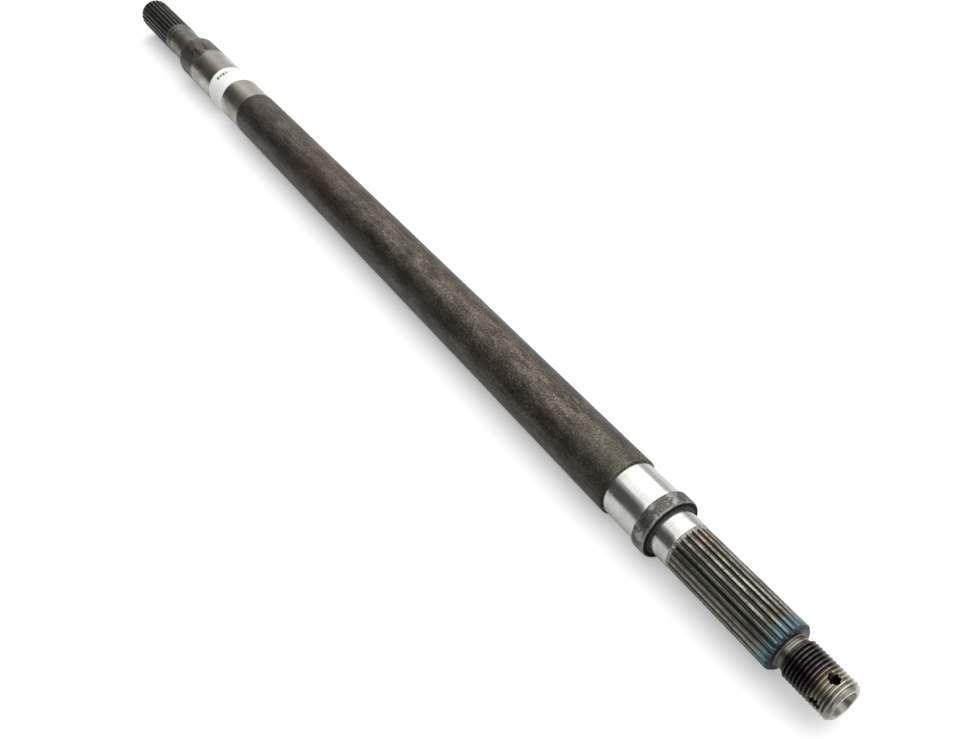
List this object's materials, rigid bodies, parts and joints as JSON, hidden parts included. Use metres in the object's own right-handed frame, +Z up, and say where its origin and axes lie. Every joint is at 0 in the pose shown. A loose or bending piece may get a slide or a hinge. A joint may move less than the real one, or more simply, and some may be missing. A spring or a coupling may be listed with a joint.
{
  "type": "rear axle half-shaft",
  "caption": "Solid steel rear axle half-shaft: spline at the differential end, long round body, bearing seat with its collar, hub spline and a threaded end drilled for split pins.",
  "frame": {"origin": "on the axle's axis, in the middle of the bearing seat", "axes": "+X along the axle towards the threaded hub end, +Z up, +Y completes a right-handed frame; the two split-pin holes run along Y and Z"},
  "size_m": [0.655, 0.0272, 0.0273],
  "materials": {
    "axle_steel": "forged body in dark mill scale, ground bright seats, oxidised splines, heat-tinted threaded end",
    "collar_steel": "mottled black oxide with bare patches",
    "label_paper": "matt white adhesive paper band with a few plain dark marks"
  },
  "bodies": {
    "axle": {"axle_shaft": "axle_steel", "paper_label": "label_paper"},
    "collar": {"bearing_collar": "collar_steel"}
  },
  "joints": [
    {"name": "collar_slide", "type": "slide", "parent": "axle", "child": "collar", "axis": [1, 0, 0], "range_m": [0, 0.0915]}
  ]
}
